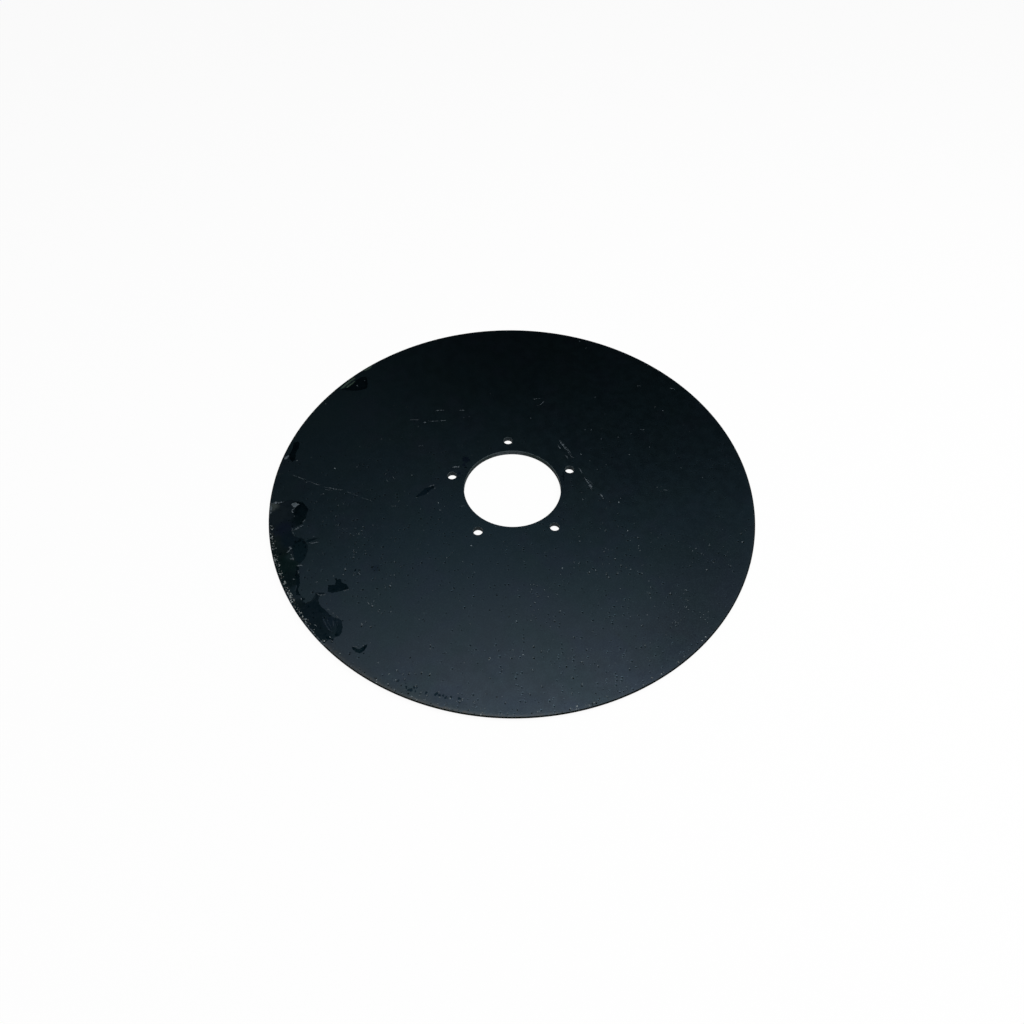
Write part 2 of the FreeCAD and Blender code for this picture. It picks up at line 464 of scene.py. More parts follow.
def stained_steel(name, plain_colour, dark, stains, shine):
    """Make the mottled steel that shows where the coat is gone."""
    material, tree, place = new_material(name)
    colour = blend(tree, fade(tree, noise(tree, place, 9 * MM), 0.38, 0.66), plain_colour, dark)
    spots = [(*where, STAIN_STRENGTH, tint) for *where, tint in stains]
    colour = lay_spots(tree, stray(tree, place, 4 * MM, 7 * MM), colour, spots)
    mottle = noise(tree, place, 2.6 * MM, detail=5.0, roughness=0.65)
    darker = tuple(value * 0.4 for value in dark)
    colour = blend(tree, fade(tree, mottle, 0.45, 0.75, 0.0, 0.45), colour, darker)
    glints = noise(tree, place, 0.8 * MM, detail=3.0)
    colour = blend(tree, fade(tree, glints, 0.56, 0.78, 0.0, 0.40), colour, (0.045, 0.066, 0.072))
    specks = dents(tree, place, **SPECKS)
    colour = blend(tree, fade(tree, specks, 0.15, 0.6, 0.0, 0.9), colour, (0.0004, 0.0024, 0.0034))
    skin = relief(tree, mottle, 0.03 * MM)
    skin = relief(tree, glints, 0.012 * MM, under=skin)
    finish(tree, colour, 1.0, fade(tree, mottle, 0.3, 0.7, shine, shine + 0.1), skin)
    return material


bare_steel = stained_steel("bare_steel", (0.0220, 0.0370, 0.0510), (0.0140, 0.0270, 0.0350),
                           STAINS, 0.30)
navy_steel = stained_steel("navy_steel", (0.0095, 0.0195, 0.0290), (0.0055, 0.0140, 0.0200),
                           NAVY_STAINS, 0.33)
black_steel = stained_steel("black_steel", (0.0045, 0.0130, 0.0180), (0.0015, 0.0070, 0.0110),
                            [], 0.36)

# %% [markdown]
# ## Walls of the bore and the holes
#
# The cut walls are bare, grey and dull. The bore's wall is browner towards its sides; the middle of its far
# side, which faces the front lamp, is painted lighter as painted light and its sides darker as painted shade.
# A thin line at its top edge is lighter.

# %% Walls of the bore and the holes
cut_wall, tree, place = new_material("cut_wall")
reach, turn = polar(tree, place)
height = axis(tree, place, "Z")
stains = noise(tree, place, 2.4 * MM, detail=4.0)
in_hole = calc(tree, "GREATER_THAN", reach, 44 * MM)
# Painted light and shade: lighter in the middle of the far wall, darker towards its sides.
lit_far_wall = window(tree, turn, 62, 78, 100, 118)
colour = blend(tree, lit_far_wall, (0.0150, 0.0260, 0.0260), (0.0480, 0.0610, 0.0700))
colour = blend(tree, in_hole, colour, (0.0340, 0.0470, 0.0540))
colour = blend(tree, fade(tree, stains, 0.4, 0.75, 0.0, 0.6), colour, (0.0060, 0.0090, 0.0100))
top_line = times(tree, fade(tree, height, face_height - 0.85 * MM, face_height - 0.35 * MM),
                 fade(tree, add(tree, stains, times(tree, in_hole, 0.25)), 0.36, 0.52))
colour = blend(tree, times(tree, top_line, 0.85), colour, (0.0720, 0.0980, 0.1080))
finish(tree, colour, 0.0, 0.6, relief(tree, stains, 0.03 * MM), specular=0.05)

# %% [markdown]
# ## Rim shade, lifted coat and grit
#
# The narrow land at the rim is painted near black and matt as shade, and the same dark matt finish gives the
# nicks their painted shadows. The coat's torn edges are lifted, dusty and pale, the paleness partly a painted
# highlight where they catch the light, and grains of dry soil and rust lie on the face. They are matt, so
# they look the same from every side, and an attribute that each grain carries makes one paler than the next.

# %% Rim edge, lifted coat and grit
# A near black matt finish, used as painted shade at the rim and beside the nicks.
dark_matt_shade, tree, place = new_material("dark_matt_shade")
stains = noise(tree, place, 1.6 * MM, detail=4.0)
colour = blend(tree, fade(tree, stains, 0.5, 0.8), (0.0015, 0.0035, 0.0028), (0.011, 0.016, 0.013))
finish(tree, colour, 0.0, 0.8, relief(tree, stains, 0.03 * MM), specular=0.05)


def dusty(name, pale, deep):
    """Make a matt finish that runs from deep to pale by each grain's own tone."""
    material, tree, place = new_material(name)
    tone = node(tree, "ShaderNodeAttribute", attribute_name="tone").outputs["Fac"]
    mottle = noise(tree, place, 0.7 * MM, detail=3.0)
    darker = tuple(value * 0.6 for value in deep)
    colour = blend(tree, fade(tree, mottle, 0.4, 0.75, 0.0, 0.6), blend(tree, tone, deep, pale), darker)
    finish(tree, colour, 0.0, 0.7, relief(tree, mottle, 0.05 * MM), specular=0.2)
    return material


# Pale lifted coat: partly dust, partly a painted highlight for coat edges and flakes that catch the light.
lifted_coat_and_highlight = dusty("lifted_coat_and_highlight", (0.100, 0.124, 0.140), (0.014, 0.024, 0.033))
green_coat = dusty("green_coat", (0.085, 0.130, 0.105), (0.016, 0.032, 0.024))
grit_dust = dusty("grit_dust", (0.150, 0.185, 0.205), (0.004, 0.009, 0.012))
streak_dust = dusty("streak_dust", (0.030, 0.060, 0.090), (0.003, 0.010, 0.017))
# The burr's pale grains are burr; its black grains are painted shadows between them.
burr_and_shadow = dusty("burr_and_shadow", (0.270, 0.310, 0.315), (0.002, 0.005, 0.005))

# %% [markdown]
# ## Outlines of the chips
#
# The chips were read off enlarged crops of the photograph as pixels, one corner at a time, and turned into
# millimetres with the fitted camera. They count from the disc's axis, with +Y away from the camera. The
# long one runs out over the rim, so its outline is closed by an arc outside the disc.

# %% Outlines of the chips
def on_rim(start, end, steps, radius=192):
    """Give places along a circle, between two turns in degrees. The circle lies just outside the rim."""
    turns = [math.radians(start + (end - start) * step / steps) for step in range(steps + 1)]
    return [(radius * math.cos(turn), radius * math.sin(turn)) for turn in turns]


long_rim_chip = [
    (-189.5, -3.5), (-181, -2), (-177, -1.5), (-173, -1), (-170, -2), (-165, -3), (-162, -7), (-160, -10),
    (-159.7, -13), (-160.5, -17), (-161, -20), (-162, -22), (-163, -25), (-166, -26.5), (-170.5, -29),
    (-170, -33), (-168, -36), (-165, -37), (-162, -38), (-160, -40), (-158, -42.5), (-157, -46),
    (-156.5, -50), (-157.5, -55), (-159, -58), (-161, -60.5), (-163, -62), (-163.5, -65), (-161, -70),
    (-160, -78), (-160.5, -84), (-159, -87.5), (-157, -90), (-156, -93), (-154.5, -95), (-152, -94),
    (-150.5, -93), (-148.5, -89.5), (-147, -86.5), (-145.5, -90), (-145.5, -94), (-143.5, -98),
    (-141, -102), (-137, -105), (-134, -107.5), (-130, -110.5), (-127.5, -113), (-127, -116.5),
    (-127.5, -119.5), (-129, -122.5), (-131, -122.5), (-133, -124.5), (-136, -125), (-138, -126.5),
    (-139.5, -128),
] + on_rim(222.5, 181, 9)
neck_chip = [
    (-157.8, -90.4), (-156.2, -94.6), (-152, -95.6), (-149.8, -94.0), (-147.6, -90.4), (-147.6, -87.0),
    (-145.2, -86.8), (-141.6, -87.0), (-141.4, -88.0), (-144.4, -88.8), (-145.8, -92.4), (-144.2, -97.2),
    (-140.2, -101.2), (-136.3, -105.6), (-139.4, -106.2), (-143.6, -102.4), (-148.6, -99.4),
    (-153.0, -98.6),
]
lobe_beside_triangle = [
    (-173.0, -2.3), (-169.1, -3.0), (-164.6, -3.9), (-162.5, -6.4), (-160.0, -10.2), (-159.5, -12.4),
    (-160.8, -15.0), (-162.0, -16.8), (-164.4, -17.3), (-169.7, -16.2), (-170.6, -14.4), (-169.9, -9.6),
    (-166.8, -6.1), (-169.5, -3.8),
]
band_by_island = [
    (-164.2, -63.4), (-161.8, -63.8), (-161.7, -65.4), (-162.1, -69.1), (-160.8, -71.6), (-160.3, -75.3),
    (-159.9, -80.8), (-160.6, -83.1), (-159.8, -86.2), (-157.6, -88.1), (-161.7, -87.5), (-162.7, -81.2),
    (-162.6, -77.6), (-163.6, -70.2), (-163.7, -66.5),
]
middle_lobe = [
    (-166.3, -41.2), (-164.1, -39.1), (-161.4, -39.3), (-159.5, -43.0), (-157.3, -44.4), (-157.0, -48.0),
    (-157.4, -52.5), (-158.3, -56.9), (-160.1, -59.9), (-162.7, -60.0), (-165.0, -57.7), (-166.5, -53.1),
    (-168.3, -47.9), (-168.5, -43.4),
]
end_lobe = [
    (-133.0, -107.7), (-129.9, -109.2), (-127.7, -111.0), (-127.2, -115.3), (-127.5, -120.2),
    (-129.5, -123.2), (-131.4, -122.6), (-132.2, -119.8), (-131.0, -116.0), (-132.6, -111.4),
]
faint_spur = [
    (-158.8, -41.4), (-156.4, -42.6), (-153.3, -40.8), (-149.2, -38.7), (-153.7, -39.0), (-157.3, -39.8),
]
branch_chip = [
    (-139.5, -81), (-134.5, -81), (-134, -77.5), (-132, -76), (-130.5, -77), (-130, -79), (-126.5, -81),
    (-125, -83), (-124.5, -85.5), (-128, -86), (-132, -87), (-136, -87.5), (-139.5, -86),
]
crescent_chip = [
    (-119.9, -131.7), (-117.9, -132.4), (-116.3, -133.1), (-114.5, -133.3), (-113.0, -132.4),
    (-111.2, -130.8), (-109.6, -130.0), (-109.3, -131.8), (-111.2, -134.9), (-114.6, -137.0),
    (-116.9, -135.5), (-119.2, -133.4),
]
top_left_chip = [
    (-141.6, 119.4), (-139.0, 121.2), (-136.0, 123.4), (-132.6, 127.4), (-128.3, 131.6), (-124.9, 134.6),
    (-121.8, 135.0), (-119.9, 132.0), (-119.2, 125.6), (-119.4, 119.6), (-124.1, 118.0), (-129.4, 117.6),
    (-134.6, 118.0),
]
left_rim_chip = [
    (-178.0, 59.0), (-174.6, 60.6), (-172.5, 58.8), (-172.8, 53.0), (-174.6, 48.4), (-174.4, 40.4),
    (-176.6, 38.2), (-179.0, 41.5), (-180.2, 46.2), (-178.4, 50.1), (-177.6, 55),
]
leaf_chip = [
    (-75.7, -3.4), (-73.4, -0.6), (-71.4, 1.7), (-69.4, 3.3), (-67.5, 4.0), (-64.8, 5.1), (-62.8, 5.8),
    (-62.0, 4.5), (-62.8, 3.1), (-64.8, 2.1), (-66.5, -0.3), (-68.2, -1.8), (-70.1, -3.4), (-72.1, -3.8),
    (-73.7, -4.1), (-75.0, -4.5),
]
right_hole_chip = [
    (41.4, 13), (43.0, 12), (42.4, 7), (41.6, 3.4), (40.8, 4.2), (41.2, 8),
]
PITS = [
    (-79.9, -165.5, 1.5), (-77.4, -164.0, 1.0), (-82.6, -163.4, 0.9), (-76.4, -166.8, 0.7),
    (-69.6, -168.4, 1.0), (-68.7, -170.2, 0.7), (-63.1, -169.8, 1.2), (-60.8, -170.6, 0.9),
    (-56.6, -172.6, 1.0), (-58.4, -171.0, 0.8), (-47.9, -174.0, 0.9), (-88.0, -158.7, 0.8),
    (-83.2, -160.6, 0.5), (-75.6, -164.0, 0.5), (-53.4, -172.4, 0.7), (-176.7, -51.2, 1.0),
    (-158.8, -53.7, 0.8), (-167.5, -74.8, 0.8), (-166.5, -41.4, 1.3), (-163.4, -40.2, 1.4),
    (-160.2, -42.0, 1.4), (-158.6, -46.0, 0.9), (-167.2, -45.0, 0.7), (-138.9, -120.8, 1.1),
    (-136.3, -123.4, 1.5), (-133.4, -125.8, 1.2), (-138.6, -126.0, 1.2), (-131.2, -121.4, 1.0),
    (-75.2, -4.0, 0.9), (-63.0, 4.6, 0.9), (-36.3, 23.2, 0.8), (-156.8, -91.6, 1.3), (-170.4, -26.2, 0.9),
    (-164.0, -24.3, 0.8), (-162.8, -21.2, 0.7), (-111.8, -137.0, 0.5), (-169.0, -19.0, 0.7),
    (-170.6, -22.4, 0.7), (-158.0, -12.0, 0.6), (-134.0, -76.4, 1.0), (-138.6, -84.6, 0.9),
    (-126.8, -84.2, 1.0), (-130.0, -80.4, 0.8), (-146.4, -88.2, 0.8), (-142.4, -88.4, 0.6),
    (-155.6, -95.4, 0.8), (-152.0, -97.6, 0.7), (-144.0, -101.6, 0.8), (-148.2, -103.0, 0.6),
    (-150.2, -105.4, 0.6), (-136.6, -106.4, 0.8), (-132.6, -109.8, 0.7), (-151.8, -74.0, 0.5),
    (-120.6, -69.2, 0.9), (-117.6, -70.0, 0.8),
]


def blot(x, y, size):
    """Give the outline of an irregular pit of this radius."""
    outline = []
    for step in range(10):
        angle = step / 10 * 2 * math.pi
        radius = size * (1 + 0.28 * math.sin(2 * angle + x) + 0.22 * math.sin(3 * angle + y))
        outline.append((x + radius * math.cos(angle), y + radius * math.sin(angle)))
    return outline


SOFT_PITS = 15
shallow_chips = [long_rim_chip]
navy_chips = [middle_lobe, end_lobe, leaf_chip, neck_chip, right_hole_chip, branch_chip, faint_spur]
deep_chips = [crescent_chip, top_left_chip, left_rim_chip, lobe_beside_triangle, band_by_island]
navy_chips += [blot(*pit) for pit in PITS[:SOFT_PITS]]
deep_chips += [blot(*pit) for pit in PITS[SOFT_PITS:]]


def draw_lines(name, lines, closed, widths=None):
    """Draw lines, given in millimetres, as one curve object, with a width for each line."""
    drawing = bpy.data.curves.new(name, "CURVE")
    drawing.dimensions = "3D"
    for number, line in enumerate(lines):
        spline = drawing.splines.new("POLY")
        spline.points.add(len(line) - 1)
        for point, (x, y) in zip(spline.points, line):
            point.co = (x * MM, y * MM, 0, 1)
            point.radius = widths[number] if widths else 1.0
        spline.use_cyclic_u = closed
    return add_object(name, drawing)

# %% [markdown]
# ## The plate
#
# A disc is the same all the way round, so its section is drawn once and swept round a circle. Five flared
# punches cut the bolt holes, and the chip outlines become shallow cutters with ragged sides. The cuts are
# true shape, not paint, so the chips keep their step and their own steel from every side.

# %% The plate
WELD_DISTANCE = 1e-6
CORNER_STEPS = 4
PLATE_STEPS = 720
HOLE_STEPS = 64
CUTTER_RISE = 1 * MM
PUNCH_OVERLAP = 0.2 * MM


def end_tree(tree, geometry):
    """Give the geometry to the tree's output."""
    node(tree, "NodeGroupOutput", {0: geometry})


def here(tree):
    """Give the place of each point."""
    return first(tree, "GeometryNodeInputPosition")


def moved(tree, geometry, offset):
    """Shift the points of a geometry."""
    return first(tree, "GeometryNodeSetPosition", {0: geometry, "Offset": offset})


def paint(tree, geometry, material, where=True):
    """Give a material to the faces that are picked."""
    return first(tree, "GeometryNodeSetMaterial", {0: geometry, "Selection": where, "Material": material})


def realized(tree, instances):
    """Turn instances into real mesh."""
    return first(tree, "GeometryNodeRealizeInstances", {0: instances})


def weld(tree, geometry):
    """Merge the points that lie on each other."""
    return first(tree, "GeometryNodeMergeByDistance", {0: geometry, "Distance": WELD_DISTANCE})


def traced(tree, drawing, step):
    """Take the lines out of a drawing, with a point at each step."""
    lines = node(tree, "GeometryNodeObjectInfo", {0: drawing}).outputs["Geometry"]
    return first(tree, "GeometryNodeResampleCurve", {0: lines, "Length": step}, mode="LENGTH")


def ragged_sheet(tree, drawing, step, wander):
    """Fill the outlines of a drawing after their points have wandered."""
    return first(tree, "GeometryNodeFillCurve", {0: moved(tree, traced(tree, drawing, step), wander)},
                 mode="TRIANGLES")


def slab(tree, sheet, thickness):
    """Raise a flat sheet into a closed slab."""
    raised = first(tree, "GeometryNodeExtrudeMesh",
                   {"Mesh": sheet, "Offset": (0, 0, 1), "Offset Scale": thickness, "Individual": False})
    joined = node(tree, "GeometryNodeJoinGeometry")
    for part in (first(tree, "GeometryNodeFlipFaces", {0: sheet}), raised):
        tree.links.new(part, joined.inputs[0])
    return weld(tree, joined.outputs[0])


def section(tree, corners, ring_radius, rounds, closed):
    """Draw a section from corners of radius and height, round each corner, and give the curve."""
    index = first(tree, "GeometryNodeInputIndex")
    places = node(tree, "GeometryNodeIndexSwitch", {0: index}, data_type="VECTOR")
    sizes = node(tree, "GeometryNodeIndexSwitch", {0: index}, data_type="FLOAT")
    while len(places.index_switch_items) < len(corners):
        places.index_switch_items.new()
        sizes.index_switch_items.new()
    for number, ((radius, height), size) in enumerate(zip(corners, rounds), start=1):
        corner = xyz(tree, X=less(tree, radius, ring_radius), Y=times(tree, height, -1.0))
        tree.links.new(corner, places.inputs[number])
        tree.links.new(add(tree, size, 0.0), sizes.inputs[number])
    line = first(tree, "GeometryNodeMeshLine", {"Count": len(corners)})
    placed = first(tree, "GeometryNodeSetPosition", {0: line, "Position": places.outputs[0]})
    curve = first(tree, "GeometryNodeMeshToCurve", {0: placed})
    curve = first(tree, "GeometryNodeSetSplineCyclic", {0: curve, "Cyclic": closed})
    return first(tree, "GeometryNodeFilletCurve",
                 {0: curve, "Radius": sizes.outputs[0], "Count": CORNER_STEPS}, mode="POLY")


def sweep_round(tree, curve, ring_radius, steps):
    """Sweep a section round a circle and close its poles."""
    ring = first(tree, "GeometryNodeCurvePrimitiveCircle", {"Resolution": steps, "Radius": ring_radius})
    return weld(tree, first(tree, "GeometryNodeCurveToMesh", {0: ring, 1: curve}))


def chip_cutter(tree, outlines, face, depth, ragged, steel):
    """Raise ragged outlines into cutters whose floor lies this deep under the face."""
    wander = flat(tree, drift(tree, 520.0, 3.0, times(tree, ragged, 2.0), roughness=0.7))
    sheet = ragged_sheet(tree, outlines, 0.5 * MM, wander)
    sheet = moved(tree, sheet, xyz(tree, Z=less(tree, face, depth)))
    return paint(tree, slab(tree, sheet, CUTTER_RISE), steel)


CHIP_KINDS = {
    "Shallow": (shallow_chips, 0.15 * MM, bare_steel),
    "Navy": (navy_chips, 0.20 * MM, navy_steel),
    "Deep": (deep_chips, 0.27 * MM, black_steel),
}
plate_sizes = {
    "Rim radius": rim_radius,
    "Face height": face_height,
    "Bore radius": bore_radius,
    "Bevel width": bevel_width,
    "Rim land": rim_land,
    "Rim round": rim_round,
    "Edge line": edge_line,
    "Bore break": bore_break,
    "Bolt circle radius": bolt_circle_radius,
    "Bolt hole radius": bolt_hole_radius,
    "Bolt hole break": bolt_hole_break,
    "Bolt holes": bolt_hole_count,
    "Raggedness": 1.15 * MM,
    "Coating": coated_steel,
    "Cut wall": cut_wall,
    "Rim shade": dark_matt_shade,
}
for kind, (outlines, depth, steel) in CHIP_KINDS.items():
    plate_sizes[f"{kind} chips"] = draw_lines(f"{kind.lower()}_chips", outlines, closed=True)
    plate_sizes[f"{kind} depth"] = depth
    plate_sizes[f"{kind} steel"] = steel
tree, given = new_tree("plate", plate_sizes)

rim = given["Rim radius"]
face = given["Face height"]
bore = given["Bore radius"]
corners = [
    (bore, 0.0),
    (less(tree, rim, given["Bevel width"]), 0.0),
    (rim, less(tree, face, given["Rim land"])),
    (rim, face),
    (less(tree, rim, given["Edge line"]), face),
    (bore, face),
]
rounds = [given["Bore break"], 1 * MM, given["Rim round"], given["Rim round"], 0.0, given["Bore break"]]
plate = sweep_round(tree, section(tree, corners, bore, rounds, True), bore, PLATE_STEPS)
plate = paint(tree, plate, given["Coating"])

hole = given["Bolt hole radius"]
flare = given["Bolt hole break"]
mouth = add(tree, hole, add(tree, flare, PUNCH_OVERLAP))
above = add(tree, face, PUNCH_OVERLAP)
hole_corners = [(0.0, above), (mouth, above), (hole, less(tree, face, flare)),
                (hole, flare), (mouth, -PUNCH_OVERLAP), (0.0, -PUNCH_OVERLAP)]
sharp = [0.0] * len(hole_corners)
punch = sweep_round(tree, section(tree, hole_corners, hole, sharp, False), hole, HOLE_STEPS)
spots = first(tree, "GeometryNodeMeshCircle",
              {"Vertices": given["Bolt holes"], "Radius": given["Bolt circle radius"]})
spots = first(tree, "GeometryNodeTransform", {0: spots, "Rotation": (0, 0, math.radians(90))})
punches = realized(tree, first(tree, "GeometryNodeInstanceOnPoints", {"Points": spots, "Instance": punch}))

cutters = [paint(tree, punches, given["Cut wall"])]
cutters += [chip_cutter(tree, given[f"{kind} chips"], face, given[f"{kind} depth"], given["Raggedness"],
                        given[f"{kind} steel"]) for kind in CHIP_KINDS]
cut = node(tree, "GeometryNodeMeshBoolean", {0: plate}, operation="DIFFERENCE", solver="EXACT")
for cutter in cutters:
    tree.links.new(cutter, cut.inputs[1])
whole = first(tree, "GeometryNodeSetShadeSmooth", {0: cut.outputs[0], "Shade Smooth": False})
whole = realized(tree, whole)

# Both limits lie a little inside the edge line and the bore's break, so the flat face keeps its coat
outward = flat(tree, here(tree))
reach = node(tree, "ShaderNodeVectorMath", {0: outward}, operation="LENGTH").outputs["Value"]
on_edge = calc(tree, "GREATER_THAN", reach, less(tree, rim, times(tree, given["Edge line"], 0.95)))
in_bore = calc(tree, "LESS_THAN", reach, add(tree, bore, times(tree, given["Bore break"], 0.9)))
# The rim's land, its round and a thin band of the face get the dark matt finish as painted shade.
whole = paint(tree, whole, given["Rim shade"], on_edge)
whole = paint(tree, whole, given["Cut wall"], in_bore)
end_tree(tree, whole)
disc = grow("disc_plate", tree, plate_sizes)
for kind in CHIP_KINDS:
    bpy.data.objects.remove(plate_sizes[f"{kind} chips"])

# %% [markdown]
# ## Grit on the face
#
# Grains of dust and soil lie all over the face, most of them on the near side and fewer along the right.
# Points are scattered on the face, thinned out by a chance that depends on the place, and each one gets a
# small flattened stone.

# %% Grit on the face
STONE_BULGE = 0.9
STONE_STRETCH = 1.9
STONE_FLATNESS = 0.35
FULL_TURN = 6.283


def ripple(tree, lumps, detail=2.0, place=None):
    """Give noise from 0 to 1 with this many lumps to a metre."""
    inputs = {"Scale": lumps, "Detail": detail}
    if place is not None:
        inputs["Vector"] = place
    return first(tree, "ShaderNodeTexNoise", inputs)


def chance(tree, low, high, seed):
    """Give each point its own random number between low and high."""
    return node(tree, "FunctionNodeRandomValue", {2: low, 3: high, 8: seed}).outputs[1]


def scatter(tree, surface, per_area, seed):
    """Scatter points on a surface."""
    inputs = {0: surface, "Density": per_area, "Seed": seed}
    return node(tree, "GeometryNodeDistributePointsOnFaces", inputs).outputs["Points"]


def keep_some(tree, points, share, seed):
    """Keep this share of the points, which may differ from place to place."""
    dropped = calc(tree, "GREATER_THAN", chance(tree, 0.0, 1.0, seed), share)
    return first(tree, "GeometryNodeDeleteGeometry", {0: points, 1: dropped})


def give_tone(tree, geometry, tone):
    """Store how pale each point is, for the material to read."""
    return first(tree, "GeometryNodeStoreNamedAttribute", {0: geometry, "Name": "tone", "Value": tone},
                 data_type="FLOAT", domain="POINT")


def lay_stones(tree, points, smallest, largest, seed, sharpness, paleness):
    """Set a small flattened stone on each point. Sharpness and paleness make large and pale ones rarer."""
    stone = first(tree, "GeometryNodeMeshIcoSphere", {"Radius": 0.5, "Subdivisions": 1})
    bulge = times(tree, less(tree, ripple(tree, 1.6, detail=1.0), 0.5), STONE_BULGE)
    stone = moved(tree, stone, vector(tree, "SCALE", here(tree), bulge))
    rare = calc(tree, "POWER", chance(tree, 0.0, 1.0, seed), sharpness)
    size = add(tree, smallest, times(tree, rare, less(tree, largest, smallest)))
    long = chance(tree, 1.0, STONE_STRETCH, seed + 1)
    shape = xyz(tree, X=times(tree, size, long), Y=size, Z=times(tree, size, STONE_FLATNESS))
    spin = xyz(tree, Z=chance(tree, 0.0, FULL_TURN, seed + 2))
    turned = first(tree, "FunctionNodeEulerToRotation", {0: spin})
    toned = give_tone(tree, points, calc(tree, "POWER", chance(tree, 0.0, 1.0, seed + 3), paleness))
    return first(tree, "GeometryNodeInstanceOnPoints",
                 {"Points": toned, "Instance": stone, "Rotation": turned, "Scale": shape})


def end_with(tree, shape, material):
    """Make the shape real mesh, give it its material and end the tree."""
    end_tree(tree, paint(tree, realized(tree, shape), material))


grit_sizes = {
    "Plate": disc,
    "Grains to a square metre": 22000.0,
    "Smallest": 0.25 * MM,
    "Largest": 1.0 * MM,
    "Seed": 11,
    "Dust": grit_dust,
}
tree, given = new_tree("grit", grit_sizes)
surface = node(tree, "GeometryNodeObjectInfo", {0: given["Plate"]}).outputs["Geometry"]
points = scatter(tree, surface, given["Grains to a square metre"], given["Seed"])
below_face = calc(tree, "LESS_THAN", axis(tree, here(tree), "Z"), face_height - 0.02 * MM)
points = first(tree, "GeometryNodeDeleteGeometry", {0: points, 1: below_face})
x = axis(tree, here(tree), "X")
y = axis(tree, here(tree), "Y")
share = add(tree, 0.28, times(tree, less(tree, times(tree, x, 0.10), y), 3.2))
clump = fade(tree, ripple(tree, 28.0), 0.35, 0.7, 0.35, 1.5)
share = times(tree, share, fade(tree, x, 0.06, 0.15, 1.0, 0.35), clump)
points = keep_some(tree, points, share, 5)
stones = lay_stones(tree, points, given["Smallest"], given["Largest"], 21, sharpness=3.0, paleness=3.2)
end_with(tree, stones, given["Dust"])
grit = grow("surface_grit", tree, grit_sizes)

# %% [markdown]
# ## Burr on the worn rim
#
# The left of the rim has struck stones, and its edge is a band of fine raised burr, paler than the steel,
# with black grains among it as painted shadows.
# The same stones are scattered on a narrow ring there instead of the whole face, densest where it was hit
# hardest. Each hit is a stretch of the rim with a start, a full part and an end in degrees, and its own
# strength.

# %% Burr on the worn rim
BAND_STEPS = 360
HITS = [
    ((-172.5, -171.5, -167, -165), 0.22),
    ((-156.5, -155.5, -151, -149), 0.26),
    ((-173, -171.5, -147, -136), 0.26),
    ((-145, -132, -60, -40), 0.04),
]
burr_sizes = {
    "Rim radius": rim_radius,
    "Face height": face_height,
    "Band width": 3.8 * MM,
    "Grains to a square metre": 3600000.0,
    "Smallest": 0.40 * MM,
    "Largest": 1.05 * MM,
    "Seed": 4,
    "Burr and shade": burr_and_shadow,
}
tree, given = new_tree("rim_burr", burr_sizes)
line = first(tree, "GeometryNodeMeshLine", {"Count": 2})
across = times(tree, first(tree, "GeometryNodeInputIndex"), times(tree, given["Band width"], -1.0))
ends = xyz(tree, X=across, Y=times(tree, given["Face height"], -1.0))
placed = first(tree, "GeometryNodeSetPosition", {0: line, "Position": ends})
outer = less(tree, given["Rim radius"], 0.5 * MM)
band = sweep_round(tree, first(tree, "GeometryNodeMeshToCurve", {0: placed}), outer, BAND_STEPS)
points = scatter(tree, band, given["Grains to a square metre"], given["Seed"])
reach, turn = polar(tree, here(tree))
from_edge = less(tree, given["Rim radius"], reach)
near_edge = window(tree, from_edge, 0.7 * MM, 1.2 * MM, 2.6 * MM, 4.3 * MM)
hit = add(tree, *(times(tree, window(tree, turn, *stretch), strength) for stretch, strength in HITS))
share = times(tree, hit, near_edge, fade(tree, ripple(tree, 620.0), 0.45, 0.57, 0.04, 1.6))
points = keep_some(tree, points, share, 6)
stones = lay_stones(tree, points, given["Smallest"], given["Largest"], 31, sharpness=1.5, paleness=2.1)
end_with(tree, stones, given["Burr and shade"])
burr = grow("rim_burr", tree, burr_sizes)

# %% [markdown]
# ## Lifted lips and scratches
#
# Along the chips the torn coat stands up in thin pale lips, their paleness a painted highlight where they
# catch the light, and a few long scratches cross the face. Each line was read off as pixels in enlarged crops
# of the photograph and turned into millimetres with the fitted camera. A tree breaks the line up, lets its
# width wander and sweeps a small flattened ring along it, so it lies on the face as a thin ridge.

# %% Lifted lips and scratches
RING_FLATNESS = 0.35
THINNEST = 0.01


